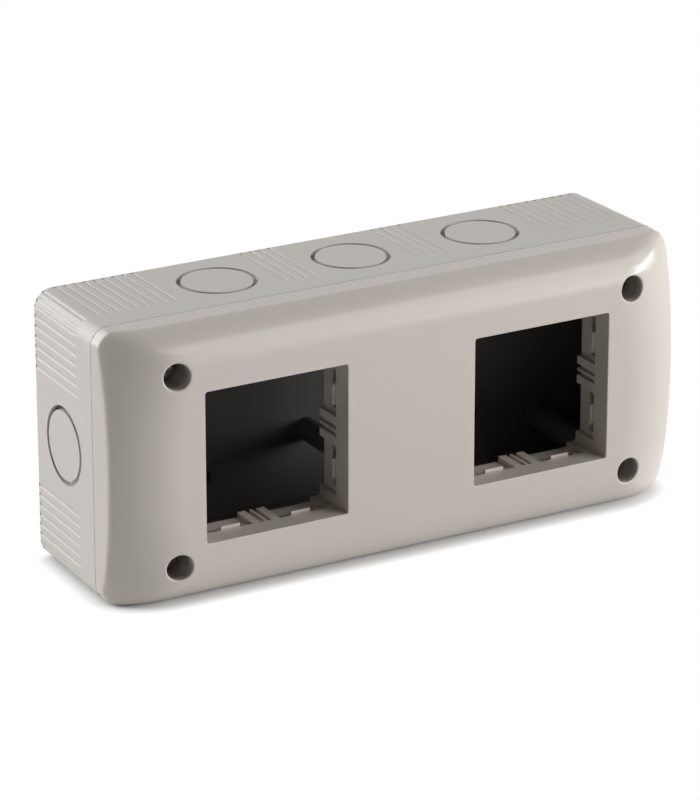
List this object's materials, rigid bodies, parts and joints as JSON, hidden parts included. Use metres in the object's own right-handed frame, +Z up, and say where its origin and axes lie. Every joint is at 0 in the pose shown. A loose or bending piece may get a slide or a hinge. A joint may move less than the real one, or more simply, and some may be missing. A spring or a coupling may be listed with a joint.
{
  "type": "surface mount box",
  "caption": "Low rectangular surface mount box for snap-in network modules: a fluted back box with knockouts and a crowned cover with square openings, held by screws.",
  "frame": {"origin": "centre of the back face that lies on the wall", "axes": "+X to the right along the length, +Y from the front into the wall, +Z up"},
  "size_m": [0.1852, 0.0533, 0.0812],
  "materials": {
    "base_plastic": "satin warm white moulding",
    "cover_plastic": "polished warm white moulding",
    "screw_zinc": "zinc plated"
  },
  "bodies": {
    "root": {"base_box": "base_plastic", "front_cover": "cover_plastic", "cover_screw_top_left": "screw_zinc", "cover_screw_top_right": "screw_zinc", "cover_screw_bottom_left": "screw_zinc", "cover_screw_bottom_right": "screw_zinc"}
  },
  "joints": []
}
